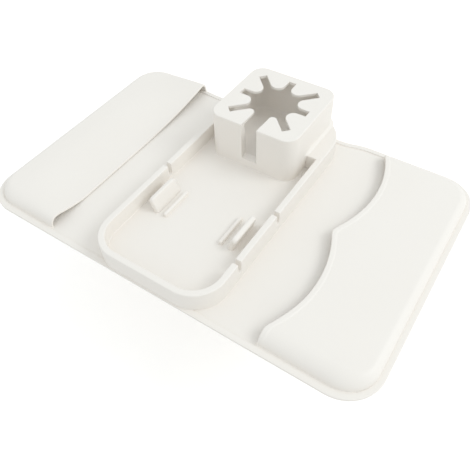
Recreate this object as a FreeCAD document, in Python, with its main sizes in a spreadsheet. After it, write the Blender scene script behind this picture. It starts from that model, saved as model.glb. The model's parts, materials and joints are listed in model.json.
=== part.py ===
import FreeCAD, Part
import math
import os
import re
import Sketcher

# Soft silicone tray that lies across the arm of a sofa. A mat folds down on both sides of the arm,
# a shallow walled tray and a cup holder stand on its middle, and a flat pocket lies on each wing.
# Lengths are millimetres. X runs across the arm, Y along it towards the cup holder, Z is up, and
# the origin is in the middle of the mat's underside.

SIZES = [
    ("mat_width", 480, "mat, across the arm, both wings spread"),
    ("mat_depth", 308, "mat, along the arm"),
    ("mat_sheet", 2.6, "thickness of the mat"),
    ("mat_corner", 34, "radius of the mat's four corners"),
    ("fold_margin", 1.5, "from the tray's outside to the fold line of a wing"),
    ("fold_gap", 0.3, "parting between the middle of the mat and a wing"),
    ("rim_width", 6.5, "flange round a pocket, on the border of the mat"),
    ("rim_height", 1.2, "thickness of that flange"),
    ("tray_width", 151, "tray, outside"),
    ("tray_corner", 37, "radius of the tray's corners, outside"),
    ("tray_front", 1.2, "from the mat's near edge to the tray's front"),
    ("tray_back", 0.3, "from the mat's far edge to the tray's back"),
    ("wall_thickness", 7, "tray wall"),
    ("wall_top", 27.5, "top of the tray wall above the sofa arm"),
    ("wall_bevel", 1.2, "bevel along the top of the tray wall"),
    ("floor_top", 8.5, "tray floor above the sofa arm"),
    ("bond_gap", 0.2, "glue line between the moulded pieces"),
    ("notch_width", 5.2, "cable notch"),
    ("notch_depth", 15, "cable notch, down from the top of the wall"),
    ("notch_near", -92, "place of the near notch along the arm"),
    ("notch_far", -18, "place of the far pair of notches along the arm"),
    ("notch_round", 2.4, "rounding at the bottom of a notch"),
    ("cup_back", 0.9, "from the tray's back to the back of the cup holder, at its top"),
    ("cup_width", 110, "cup holder across the arm, at its top"),
    ("cup_depth", 109.6, "cup holder along the arm, at its top"),
    ("cup_draft", 0.4, "how much further out each side stands at its foot"),
    ("cup_corner", 17, "radius of the cup holder's upright corners"),
    ("cup_top", 67.5, "top of the cup holder above the sofa arm"),
    ("cup_floor", 18, "bottom of the cup well above the sofa arm"),
    ("cup_wall", 6.5, "wall of the cup well, at its top"),
    ("well_corner", 16, "radius of the well's upright corners"),
    ("well_draft", 3.1, "how much further in each wall of the well stands at its bottom"),
    ("shoulder_front", 34.8, "from the cup holder's front to where the solid shoulder beside it begins"),
    ("plate_thickness", 3.6, "top plate of the cup holder and its fingers"),
    ("plate_round", 2, "rounding round the top plate"),
    ("handle_width", 20, "slot for the handle of a mug"),
    ("handle_sill", 20, "bottom of that slot above the sofa arm"),
    ("slot_width", 9.6, "slots of the star"),
    ("short_reach", 43.6, "slots that point at a side, from the middle"),
    ("long_reach", 53.2, "slots that point at a corner, from the middle"),
    ("finger_nose", 9, "radius of a finger's tip"),
    ("handle_nose", 5, "radius of the two narrow tips beside the handle slot"),
    ("finger_gap", 0.35, "parting along the root of a finger"),
    ("rest_centre", -50.5, "middle of the phone rests along the arm"),
    ("rest_length", 42, "phone rests along the arm"),
    ("rest_margin", 18.8, "from the inside of the tray wall to the middle of a backrest's foot"),
    ("ridge_width", 4.4, "ridge that stops the foot of a phone"),
    ("ridge_height", 5, "that ridge above the tray floor"),
    ("ridge_round", 1.6, "rounding along the ridge"),
    ("groove_width", 7.8, "groove between the ridge and the backrest"),
    ("foot_radius", 3.2, "round foot of a backrest, which its bend turns about"),
    ("foot_gap", 0.3, "parting under that foot"),
    ("back_length", 14.8, "backrest from the middle of its foot to its top"),
    ("back_thickness", 5, "backrest"),
    ("back_lean", 19, "lean of a backrest towards the tray wall, in degrees"),
    ("back_corner", 4, "radius of a backrest's two upper corners"),
    ("back_bevel", 1.3, "bevel along the edges of a backrest"),
    ("pocket_height", 11.2, "pocket above the mat"),
    ("pocket_wall", 2.4, "sheet of a pocket"),
    ("pocket_round", 6, "rounding along the shoulder of a pocket"),
    ("pocket_bevel", 2.2, "bevel inside that shoulder"),
    ("pocket_reach", 30, "how far the hollow is cut past the mouth"),
    ("left_mouth", 136, "mouth of the left pocket from the middle of the mat"),
    ("right_mouth", 128, "mouth of the right pocket from the middle of the mat"),
    ("scallop_width", 139, "each of the two scallops in the right pocket's mouth"),
    ("scallop_depth", 17, "depth of a scallop"),
    ("scallop_cusp", 5, "place of the point between the scallops along the arm"),
    ("sag_width", 230, "stretch of the left pocket's mouth that sags"),
    ("sag_depth", 3.6, "depth of that sag"),
    ("sag_reach", 90, "how far the sag runs from the mouth to the outer side"),
    ("sag_place", -5, "middle of that sag along the arm"),
]

doc = FreeCAD.newDocument("SofaArmTray")
sheet = doc.addObject("Spreadsheet::Sheet", "Sizes")
for row, (name, value, meaning) in enumerate(SIZES, start=1):
    sheet.set("A%d" % row, meaning)
    sheet.set("B%d" % row, str(value))
    sheet.setAlias("B%d" % row, name)
doc.recompute()

NAMES = set(entry[0] for entry in SIZES)
size = dict((name, float(sheet.get(name))) for name in NAMES)
finished = []


def linked(formula):
    """The formula with every named size pointing at its cell."""
    return re.sub(r"[a-z_]+", lambda word: ("Sizes." if word.group() in NAMES else "") + word.group(), formula)


def bind(thing, place, formula):
    thing.setExpression(place, linked(formula))


def new_body(name):
    body = doc.addObject("PartDesign::Body", name)
    body.Label = name
    return body


def new_sketch(body, name, role="XY_Plane", height=None):
    """A sketch on one of the body's own planes, raised along the plane's normal."""
    sketch = body.newObject("Sketcher::SketchObject", name)
    support = [feature for feature in body.Origin.OriginFeatures if feature.Role == role][0]
    sketch.AttachmentSupport = (support, [""])
    sketch.MapMode = "FlatFace"
    if height:
        bind(sketch, "AttachmentOffset.Base.z", height)
    return sketch


def rectangle(left, right, near, far):
    return [(left, near), (right, near), (right, far), (left, far)]


def draw(sketch, *loops):
    """Closed straight-sided outlines whose corners are pairs of formulas."""
    for corners in loops:
        first = sketch.GeometryCount
        count = len(corners)
        turn = 2 * math.pi / count
        ring = [FreeCAD.Vector(math.cos(turn * i), math.sin(turn * i), 0) for i in range(count)]
        for i in range(count):
            sketch.addGeometry(Part.LineSegment(ring[i], ring[(i + 1) % count]), False)
        for i in range(count):
            sketch.addConstraint(Sketcher.Constraint("Coincident", first + i, 2, first + (i + 1) % count, 1))
        for i, (across, along) in enumerate(corners):
            index = sketch.addConstraint(Sketcher.Constraint("DistanceX", -1, 1, first + i, 1, 1.0))
            bind(sketch, "Constraints[%d]" % index, across)
            index = sketch.addConstraint(Sketcher.Constraint("DistanceY", -1, 1, first + i, 1, 1.0))
            bind(sketch, "Constraints[%d]" % index, along)
    doc.recompute()
    return sketch


def draw_circles(sketch, *circles):
    """Circles given by formulas for the centre's place and the radius."""
    for across, along, radius in circles:
        made = sketch.addGeometry(Part.Circle(FreeCAD.Vector(0, 0, 0), FreeCAD.Vector(0, 0, 1), 1.0), False)
        index = sketch.addConstraint(Sketcher.Constraint("Radius", made, 1.0))
        bind(sketch, "Constraints[%d]" % index, radius)
        index = sketch.addConstraint(Sketcher.Constraint("DistanceX", -1, 1, made, 3, 1.0))
        bind(sketch, "Constraints[%d]" % index, across)
        index = sketch.addConstraint(Sketcher.Constraint("DistanceY", -1, 1, made, 3, 1.0))
        bind(sketch, "Constraints[%d]" % index, along)
    doc.recompute()
    return sketch


def pad(body, sketch, length):
    feature = body.newObject("PartDesign::Pad", sketch.Name + "Pad")
    feature.Profile = sketch
    bind(feature, "Length", length)
    doc.recompute()
    return feature


def pocket(body, sketch, length, along_normal=False):
    """A cut that has to take something away."""
    before = body.Shape.Volume
    feature = body.newObject("PartDesign::Pocket", sketch.Name + "Pocket")
    feature.Profile = sketch
    feature.Reversed = along_normal
    bind(feature, "Length", length)
    doc.recompute()
    if not body.Shape.Volume < before - 1e-3:
        raise RuntimeError("%s takes nothing away" % feature.Name)
    return feature


def broken(kind, body, name, amount, wanted):
    """Rounds or bevels the edges of the body's last feature that the test picks."""
    base = body.Tip
    picked = ["Edge%d" % (i + 1) for i, edge in enumerate(base.Shape.Edges) if wanted(edge)]
    if not picked:
        raise RuntimeError("no edge for %s" % name)
    feature = body.newObject(kind, name)
    feature.Base = (base, picked)
    bind(feature, "Radius" if kind == "PartDesign::Fillet" else "Size", amount)
    doc.recompute()
    if not feature.isValid() or feature.Shape.isNull():
        raise RuntimeError("%s can't be made" % name)
    return feature


def rounded(body, name, radius, wanted):
    return broken("PartDesign::Fillet", body, name, radius, wanted)


def bevelled(body, name, width, wanted):
    return broken("PartDesign::Chamfer", body, name, width, wanted)


def drafted(body, name, angle, outwards):
    """Leans every upright side of the body's last feature, from the body's own XY plane upwards."""
    base = body.Tip
    sides = ["Face%d" % (i + 1) for i, face in enumerate(base.Shape.Faces) if abs(face.normalAt(0, 0).z) < 0.01]
    feature = body.newObject("PartDesign::Draft", name)
    feature.Base = (base, sides)
    feature.NeutralPlane = ([plane for plane in body.Origin.OriginFeatures if plane.Role == "XY_Plane"][0], [""])
    feature.Reversed = outwards
    bind(feature, "Angle", angle)
    doc.recompute()
    if not feature.isValid() or (feature.Shape.Volume > base.Shape.Volume) != outwards:
        raise RuntimeError("%s doesn't lean as it should" % name)
    return feature


def combined(kind, name, base, tool):
    """A boolean of two finished solids."""
    result = doc.addObject(kind, name)
    result.Label = name
    result.Base = base
    result.Tool = tool
    doc.recompute()
    return result


def middle(edge):
    return edge.valueAt((edge.FirstParameter + edge.LastParameter) / 2)


def level(edge, height):
    """Whether the whole edge lies at this height."""
    points = [vertex.Point for vertex in edge.Vertexes] + [middle(edge)]
    return all(abs(point.z - height) < 0.01 for point in points)


def upright(edge):
    """Whether the edge rises much more than it runs sideways."""
    box = edge.BoundBox
    return box.ZLength > 4 * max(box.XLength, box.YLength)


# Mat: the middle lies on the arm, and a wing folds down on each side of it.
fold_line = "(tray_width / 2 + fold_margin)"
deck = new_body("deck_mat")
pad(deck, draw(new_sketch(deck, "DeckOutline"), rectangle(
    "-%s + fold_gap / 2" % fold_line, "%s - fold_gap / 2" % fold_line, "-mat_depth / 2", "mat_depth / 2")), "mat_sheet")
finished.append(deck)

for side, sign in (("left", -1), ("right", 1)):
    wing = new_body(side + "_wing_mat")
    inner, outer = "%d * (%s + fold_gap / 2)" % (sign, fold_line), "%d * mat_width / 2" % sign
    pad(wing, draw(new_sketch(wing, side + "WingOutline"), rectangle(
        inner, outer, "-mat_depth / 2", "mat_depth / 2")), "mat_sheet")
    rounded(wing, side + "WingCorner", "mat_corner",
            lambda edge: upright(edge) and abs(middle(edge).x - sign * size["mat_width"] / 2) < 0.01)
    finished.append(wing)

# Tray: a floor slab and a wall on three sides of it. The cup holder's shoulder closes the fourth.
tray_near = "(tray_front - mat_depth / 2)"
tray_far = "(mat_depth / 2 - tray_back)"
cup_near = "(%s - cup_back - cup_depth)" % tray_far
shoulder_near = "(%s + shoulder_front)" % cup_near
floor = new_body("tray_floor")
pad(floor, draw(new_sketch(floor, "FloorOutline", height="mat_sheet"), rectangle(
    "wall_thickness + bond_gap - tray_width / 2", "tray_width / 2 - wall_thickness - bond_gap",
    "%s + wall_thickness + bond_gap" % tray_near, shoulder_near + " - bond_gap")), "floor_top - mat_sheet")
rounded(floor, "FloorCorner", "tray_corner - wall_thickness - bond_gap",
        lambda edge: upright(edge) and middle(edge).y < 0)
finished.append(floor)

wall = new_body("tray_wall")
pad(wall, draw(new_sketch(wall, "WallOutside", height="mat_sheet"), rectangle(
    "-tray_width / 2", "tray_width / 2", tray_near, shoulder_near + " - bond_gap")), "wall_top - mat_sheet")
pocket(wall, draw(new_sketch(wall, "WallInside", height="wall_top"), rectangle(
    "wall_thickness - tray_width / 2", "tray_width / 2 - wall_thickness",
    "%s + wall_thickness" % tray_near, shoulder_near + " + wall_thickness")), "wall_top - mat_sheet")
wall_line = size["tray_front"] - size["mat_depth"] / 2 + size["wall_thickness"]
rounded(wall, "WallInnerCorner", "tray_corner - wall_thickness",
        lambda edge: upright(edge) and abs(middle(edge).y - wall_line) < 0.01)
rounded(wall, "WallCorner", "tray_corner",
        lambda edge: upright(edge) and middle(edge).y < wall_line - size["wall_thickness"] / 2)
bevelled(wall, "WallTop", "wall_bevel",
         lambda edge: level(edge, size["wall_top"]) and middle(edge).y < wall.Shape.BoundBox.YMax - 1)
notch = "notch_%s - notch_width / 2", "notch_%s + notch_width / 2", "wall_top - notch_depth", "wall_top + notch_width"
near_notch = rectangle(*[formula % "near" if "%" in formula else formula for formula in notch])
far_notch = rectangle(*[formula % "far" if "%" in formula else formula for formula in notch])
pocket(wall, draw(new_sketch(wall, "RightNotches", "YZ_Plane"), near_notch, far_notch), "tray_width", True)
pocket(wall, draw(new_sketch(wall, "LeftNotch", "YZ_Plane"), far_notch), "tray_width")
rounded(wall, "NotchBottom", "notch_round",
        lambda edge: level(edge, size["wall_top"] - size["notch_depth"]) and edge.BoundBox.XLength > 1)
finished.append(wall)

# Cup holder: a drafted block on the tray floor, with a shoulder that carries the tray's outline round
# its back, a well that narrows downwards and an open slot for the handle of a mug.
cup_centre = "(%s + cup_depth / 2)" % cup_near
under_plate = "(cup_top - plate_thickness)"
rise = "(%s - floor_top)" % under_plate
core = new_body("cup_core")
bind(core, "Placement.Base.y", cup_centre)
bind(core, "Placement.Base.z", "floor_top")
pad(core, draw(new_sketch(core, "CoreFoot"), rectangle(
    "-cup_width / 2 - cup_draft", "cup_width / 2 + cup_draft",
    "-cup_depth / 2 - cup_draft", "cup_depth / 2 + cup_draft")), rise)
rounded(core, "CoreCorner", "cup_corner", upright)
drafted(core, "CoreDraft", "atan(cup_draft / %s)" % rise, False)

shoulder = new_body("cup_shoulder")
pad(shoulder, draw(new_sketch(shoulder, "ShoulderOutline", height="mat_sheet"), rectangle(
    "-tray_width / 2", "tray_width / 2", shoulder_near, tray_far)), "wall_top - mat_sheet")
rounded(shoulder, "ShoulderCorner", "tray_corner",
        lambda edge: upright(edge) and middle(edge).y > shoulder.Shape.BoundBox.YMin + 1)
bevelled(shoulder, "ShoulderTop", "wall_bevel",
         lambda edge: level(edge, size["wall_top"]) and middle(edge).y > shoulder.Shape.BoundBox.YMin + 1)

depth = "(%s - cup_floor)" % under_plate
well = new_body("cup_well")
bind(well, "Placement.Base.y", cup_centre)
bind(well, "Placement.Base.z", "cup_floor")
pad(well, draw(new_sketch(well, "WellFloor"), rectangle(
    "cup_wall + well_draft - cup_width / 2", "cup_width / 2 - cup_wall - well_draft",
    "cup_wall + well_draft - cup_depth / 2", "cup_depth / 2 - cup_wall - well_draft")), depth)
rounded(well, "WellCorner", "well_corner", upright)
drafted(well, "WellDraft", "atan(well_draft / %s)" % depth, True)

handle = new_body("handle_slot")
bind(handle, "Placement.Base.y", cup_centre)
pad(handle, draw(new_sketch(handle, "HandleOutline", height="handle_sill"), rectangle(
    "-handle_width / 2", "handle_width / 2",
    "-cup_depth / 2 - 2 * cup_draft", "cup_wall + 2 * well_draft - cup_depth / 2")), "cup_top - handle_sill")

solid = combined("Part::Fuse", "cup_solid", core, shoulder)
hollow = combined("Part::Fuse", "cup_hollow", well, handle)
finished.append(combined("Part::Cut", "cup_block", solid, hollow))

# Top plate of the cup holder: one face cut by a star of slots, whose eight fingers bend down and
# grip a cup. The slot towards the tray is as wide as a handle and runs out through the front.
half = "slot_width / 2"
slant = "sqrt(0.5)"


def slot_end(turns, reach, side, half_width):
    """One corner of a slot's end; turns counts eighths of a circle from +X."""
    along = [("1", "0"), (slant, slant), ("0", "1"), ("-" + slant, slant),
             ("-1", "0"), ("-" + slant, "-" + slant), ("0", "-1"), (slant, "-" + slant)][turns % 8]
    return ("(%s) * (%s) - %d * (%s) * (%s)" % (along[0], reach, side, along[1], half_width),
            "(%s) * (%s) + %d * (%s) * (%s)" % (along[1], reach, side, along[0], half_width))


star = []
for turns in range(8):
    if turns == 6:
        star.append(slot_end(turns, "short_reach", -1, "handle_width / 2"))
        star.append(slot_end(turns, "cup_depth / 2 + cup_wall", -1, "handle_width / 2"))
        star.append(slot_end(turns, "cup_depth / 2 + cup_wall", 1, "handle_width / 2"))
        star.append(slot_end(turns, "short_reach", 1, "handle_width / 2"))
    else:
        reach = "short_reach" if turns % 2 == 0 else "long_reach"
        star.append(slot_end(turns, reach, -1, half))
        star.append(slot_end(turns, reach, 1, half))

plate = new_body("cup_top_plate")
bind(plate, "Placement.Base.y", cup_centre)
bind(plate, "Placement.Base.z", under_plate)
pad(plate, draw(new_sketch(plate, "PlateOutline"), rectangle(
    "-cup_width / 2", "cup_width / 2", "-cup_depth / 2", "cup_depth / 2")), "plate_thickness")
rounded(plate, "PlateCorner", "cup_corner", upright)
rounded(plate, "PlateTop", "plate_round", lambda edge: level(edge, size["plate_thickness"]))
pocket(plate, draw(new_sketch(plate, "Star", height="plate_thickness"), star), "plate_thickness")
finished.append(plate)

# A finger is the wedge between a slot that points at a side and one that points at a corner, with
# its tip rounded between the two slots. It bends about its root, along the edge of the plate.
for turns in range(0, 8, 2):
    for side in (-1, 1):
        number = turns + (2 if side > 0 else 1)
        half_width = "(handle_width / 2)" if turns == 6 else "(slot_width / 2)"
        nose = "handle_nose" if turns == 6 else "finger_nose"
        finger = new_body("cup_finger_%d" % number)
        bind(finger, "Placement.Base.y", cup_centre)
        bind(finger, "Placement.Base.z", under_plate)
        start = slot_end(turns, "short_reach - finger_gap", side, half_width)
        end = slot_end(turns + side, "long_reach - finger_gap", -side, half)
        point = slot_end(turns, "%s + slot_width * %s" % (half_width, slant), side, half_width)
        pad(finger, draw(new_sketch(finger, "Finger%d" % number), [point, start, end]), "plate_thickness")
        tip = min((edge for edge in finger.Shape.Edges if upright(edge)),
                  key=lambda edge: math.hypot(middle(edge).x, middle(edge).y - finger.Placement.Base.y))
        place = middle(tip) - FreeCAD.Vector(0, finger.Placement.Base.y, 0)
        rounded(finger, "Finger%dTip" % number, nose, lambda edge: upright(edge) and math.hypot(
            middle(edge).x - place.x, middle(edge).y - place.y) < 0.01)
        finished.append(finger)

# Phone rests: on each side a low ridge stops the foot of a phone and a backrest leans outwards.
foot_line = "(tray_width / 2 - wall_thickness - rest_margin)"
ridge_outer = "(%s - foot_radius - groove_width)" % foot_line
for side, sign in (("left", -1), ("right", 1)):
    ridge = new_body(side + "_phone_ridge")
    pad(ridge, draw(new_sketch(ridge, side + "Ridge", "XZ_Plane", "-rest_centre - rest_length / 2"), rectangle(
        "%d * %s" % (sign, ridge_outer), "%d * (%s - ridge_width)" % (sign, ridge_outer),
        "floor_top", "floor_top + ridge_height")), "rest_length")
    rounded(ridge, side + "RidgeTop", "ridge_round",
            lambda edge: level(edge, size["floor_top"] + size["ridge_height"]))
    finished.append(ridge)

    backrest = new_body(side + "_phone_backrest")
    backrest.Placement = FreeCAD.Placement(FreeCAD.Vector(0, 0, 0), FreeCAD.Rotation(FreeCAD.Vector(0, sign, 0), 1))
    bind(backrest, "Placement.Base.x", "%d * %s" % (sign, foot_line))
    bind(backrest, "Placement.Base.y", "rest_centre")
    bind(backrest, "Placement.Base.z", "floor_top + foot_gap + foot_radius")
    bind(backrest, "Placement.Rotation.Angle", "back_lean")
    pad(backrest, draw(new_sketch(backrest, side + "Back", "XZ_Plane", "-rest_length / 2"), rectangle(
        "-back_thickness / 2", "back_thickness / 2", "0", "back_length")), "rest_length")
    rounded(backrest, side + "BackCorner", "back_corner",
            lambda edge: level(edge, size["back_length"]) and edge.BoundBox.YLength < 0.01)
    bevelled(backrest, side + "BackBevel", "back_bevel", lambda edge: level(edge, size["back_length"]))
    pad(backrest, draw_circles(new_sketch(backrest, side + "Foot", "XZ_Plane", "-rest_length / 2"),
                               ("0", "0", "foot_radius")), "rest_length")
    finished.append(backrest)

# Pockets: a sheet with rounded shoulders on three sides, a flange on the border of the mat and the
# mouth towards the tray. The right mouth is cut in two scallops; the left one is straight and sags.
border = "(mat_depth / 2 - rim_width)"
for side, sign in (("left", -1), ("right", 1)):
    mouth, edge_line = "%d * %s_mouth" % (sign, side), "%d * (mat_width / 2 - rim_width)" % sign
    shell = new_body(side + "_pocket_form")
    pad(shell, draw(new_sketch(shell, side + "Form", height="mat_sheet"), rectangle(
        mouth, edge_line, "-" + border, border)), "pocket_height")
    end = sign * (size["mat_width"] / 2 - size["rim_width"])
    rounded(shell, side + "FormCorner", "mat_corner - rim_width",
            lambda edge: upright(edge) and abs(middle(edge).x - end) < 0.01)
    top = size["mat_sheet"] + size["pocket_height"]
    inner = sign * size[side + "_mouth"]
    rounded(shell, side + "FormTop", "pocket_round",
            lambda edge: level(edge, top) and abs(middle(edge).x - inner) > 1)

    flange = new_body(side + "_flange")
    pad(flange, draw(new_sketch(flange, side + "Flange", height="mat_sheet"), rectangle(
        mouth, "%d * mat_width / 2" % sign, "-mat_depth / 2", "mat_depth / 2")), "rim_height")
    rounded(flange, side + "FlangeCorner", "mat_corner",
            lambda edge: upright(edge) and abs(middle(edge).x - sign * size["mat_width"] / 2) < 0.01)

    room = new_body(side + "_room")
    pad(room, draw(new_sketch(room, side + "Room", height="mat_sheet"), rectangle(
        "%s - %d * pocket_reach" % (mouth, sign), "%s - %d * pocket_wall" % (edge_line, sign),
        "pocket_wall - " + border, border + " - pocket_wall")), "pocket_height - pocket_wall")
    end = sign * (size["mat_width"] / 2 - size["rim_width"] - size["pocket_wall"])
    rounded(room, side + "RoomCorner", "mat_corner - rim_width - pocket_wall",
            lambda edge: upright(edge) and abs(middle(edge).x - end) < 0.01)
    inner = sign * (size[side + "_mouth"] - size["pocket_reach"])
    top = top - size["pocket_wall"]
    bevelled(room, side + "RoomTop", "pocket_bevel",
             lambda edge: level(edge, top) and abs(middle(edge).x - inner) > 1)

    if side == "right":
        radius = "((scallop_width ^ 2 / 4 + scallop_depth ^ 2) / (2 * scallop_depth))"
        scallops = new_body("scallops")
        for name, place in (("FarScallop", "scallop_cusp + scallop_width / 2"),
                            ("NearScallop", "scallop_cusp - scallop_width / 2")):
            pad(scallops, draw_circles(new_sketch(scallops, name, height="mat_sheet"), (
                "right_mouth + scallop_depth - " + radius, place, radius)), "2 * pocket_height")
        room = combined("Part::Fuse", "right_hollow", room, scallops)
    else:
        dish = "((sag_width ^ 2 / 4 + sag_depth ^ 2) / (2 * sag_depth))"
        for owner, extra in ((shell, "0"), (room, "pocket_wall")):
            trough = owner.newObject("PartDesign::SubtractiveCylinder", owner.Name + "Sag")
            trough.Placement = FreeCAD.Placement(FreeCAD.Vector(0, 0, 0), FreeCAD.Rotation(FreeCAD.Vector(0, -1, 0), 80))
            bind(trough, "Radius", "%s + %s" % (dish, extra))
            bind(trough, "Height", "mat_width")
            bind(trough, "Placement.Base.x", "pocket_reach - left_mouth")
            bind(trough, "Placement.Base.y", "sag_place")
            bind(trough, "Placement.Base.z", "mat_sheet + pocket_height - sag_depth + %s"
                 " - pocket_reach * sag_depth / sag_reach" % dish)
            bind(trough, "Placement.Rotation.Angle", "90 deg - atan(sag_depth / sag_reach)")
            doc.recompute()
    whole = combined("Part::Fuse", side + "_pocket_whole", shell, flange)
    finished.append(combined("Part::Cut", side + "_pocket", whole, room))

doc.recompute()
for thing in doc.Objects:
    if "Invalid" in thing.State or "Error" in thing.State:
        raise RuntimeError("%s did not build" % thing.Label)
for thing in finished:
    if thing.Shape.isNull() or not thing.Shape.isValid() or len(thing.Shape.Solids) != 1:
        raise RuntimeError("%s is not one sound solid" % thing.Label)

os.makedirs("parts", exist_ok=True)
for thing in finished:
    thing.Shape.exportStep("parts/%s.step" % thing.Label)
    box = thing.Shape.BoundBox
    print("%-22s %9.1f mm3  x %.1f..%.1f  y %.1f..%.1f  z %.1f..%.1f" % (
        thing.Label, thing.Shape.Volume, box.XMin, box.XMax, box.YMin, box.YMax, box.ZMin, box.ZMax))
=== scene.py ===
"""Sofa arm tray in ivory silicone: mat, tray, cup holder, phone rests and side pockets."""
import json
import math

import bmesh
import bpy
from bpy.props import FloatProperty, FloatVectorProperty, PointerProperty
from mathutils import Matrix, Vector


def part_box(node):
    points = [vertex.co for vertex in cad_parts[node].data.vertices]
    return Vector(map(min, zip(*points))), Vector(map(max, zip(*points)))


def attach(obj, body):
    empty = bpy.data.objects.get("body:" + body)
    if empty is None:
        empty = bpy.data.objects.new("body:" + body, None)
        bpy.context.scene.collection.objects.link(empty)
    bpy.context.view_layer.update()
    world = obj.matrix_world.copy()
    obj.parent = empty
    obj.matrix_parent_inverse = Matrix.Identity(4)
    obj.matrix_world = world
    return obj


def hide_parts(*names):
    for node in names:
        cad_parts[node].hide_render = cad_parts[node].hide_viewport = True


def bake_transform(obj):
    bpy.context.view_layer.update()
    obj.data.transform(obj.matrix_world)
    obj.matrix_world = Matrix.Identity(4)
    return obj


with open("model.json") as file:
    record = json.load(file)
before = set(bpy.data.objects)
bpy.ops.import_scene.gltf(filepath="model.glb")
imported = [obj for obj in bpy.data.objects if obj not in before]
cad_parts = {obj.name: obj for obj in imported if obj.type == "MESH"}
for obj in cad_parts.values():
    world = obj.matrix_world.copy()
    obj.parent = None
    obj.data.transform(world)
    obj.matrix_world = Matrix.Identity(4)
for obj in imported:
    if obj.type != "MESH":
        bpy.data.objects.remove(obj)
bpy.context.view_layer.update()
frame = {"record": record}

bl_info = {
    "name": "Sofa Arm Tray",
    "version": (1, 0, 0),
    "blender": (4, 5, 0),
    "location": "3D View > Sidebar > Arm Tray",
    "description": "Builds a silicone sofa arm tray with a cup holder, phone rests and side pockets",
    "category": "Object",
}

SIDES = (("left", -1), ("right", 1))
MAT_LOW, MAT_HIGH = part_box("left_wing_mat")[0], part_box("right_wing_mat")[1]
FLOOR_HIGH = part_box("tray_floor")[1]
WALL_LOW, WALL_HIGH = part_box("tray_wall")
BLOCK_LOW, BLOCK_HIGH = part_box("cup_block")
PLATE_LOW, PLATE_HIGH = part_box("cup_top_plate")
JOINT_PLACES = {joint["name"]: joint["pos_m"] for joint in frame["record"]["behaviour"]["joints"]}
BACK_FOOT = JOINT_PLACES["right_backrest_bend"]
FOLD_LINE = JOINT_PLACES["right_wing_fold"][0]


def length(name, description, default):
    return FloatProperty(name=name, description=description, default=default, unit="LENGTH", precision=4)


def tint(name, description, default):
    return FloatVectorProperty(name=name, description=description, default=default, subtype="COLOR", size=3,
                               min=0.0, max=1.0)


class ArmTrayMat(bpy.types.PropertyGroup):
    """Sizes of the mat."""
    sheet: length("Sheet", "Thickness of the mat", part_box("deck_mat")[1][2])
    corner: length("Corner", "Radius of the mat's corners", 0.040)
    edge_round: length("Edge round", "Rounding along the underside of the border", 0.0018)
    rim_width: length("Rim width", "Raised rim along the border", 0.0065)
    rim_height: length("Rim height", "Rim above the mat", 0.0012)
    rim_round: length("Rim round", "Rounding along the rim", 0.0009)
    fold_width: length("Fold width", "Stretch of the mat that takes up the bend of a wing", 0.0235)
    right_dip: length("Right dip", "How far the far edge draws in on the right of the cup holder", 0.0055)
    left_dip: length("Left dip", "How far the far edge draws in on the left of the cup holder", 0.0080)
    dip_begin: length("Dip begin", "Where the far edge begins to draw in, from the middle", 0.030)
    dip_full: length("Dip full", "Where the far edge is drawn in fully, from the middle", 0.062)
    right_dip_last: length("Right dip last", "Where the far edge begins to come back on the right", 0.070)
    right_dip_end: length("Right dip end", "Where the far edge is straight again on the right", 0.105)
    left_dip_last: length("Left dip last", "Where the far edge begins to come back on the left", 0.105)
    left_dip_end: length("Left dip end", "Where the far edge is straight again on the left", 0.200)
    dip_reach: length("Dip reach", "How far the dips run in from the far edge", 0.050)


class ArmTrayTray(bpy.types.PropertyGroup):
    """Sizes of the walled tray."""
    corner: length("Corner", "Radius of the tray's outside corners", 0.037)
    wall: length("Wall", "Thickness of the tray wall", WALL_HIGH[0] - FLOOR_HIGH[0])
    floor_top: length("Floor", "Top of the tray floor", FLOOR_HIGH[2])
    rim_round: length("Rim round", "Rounding along the top of the wall", 0.0013)
    far_corner: length("Far corner", "Radius of the shoulder's outside corners", 0.048)
    floor_round: length("Floor round", "Cove between wall and floor", 0.0007)
    notch_width: length("Notch width", "Cable notch along the wall", 0.0052)
    notch_depth: length("Notch depth", "Cable notch down from the top", 0.015)
    notch_round: length("Notch round", "Rounding along the edges of a notch", 0.0016)
    notch_near: length("Near notch", "Place of the near notch along the arm", -0.092)
    notch_far: length("Far notch", "Place of the far notches along the arm", -0.018)


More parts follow.
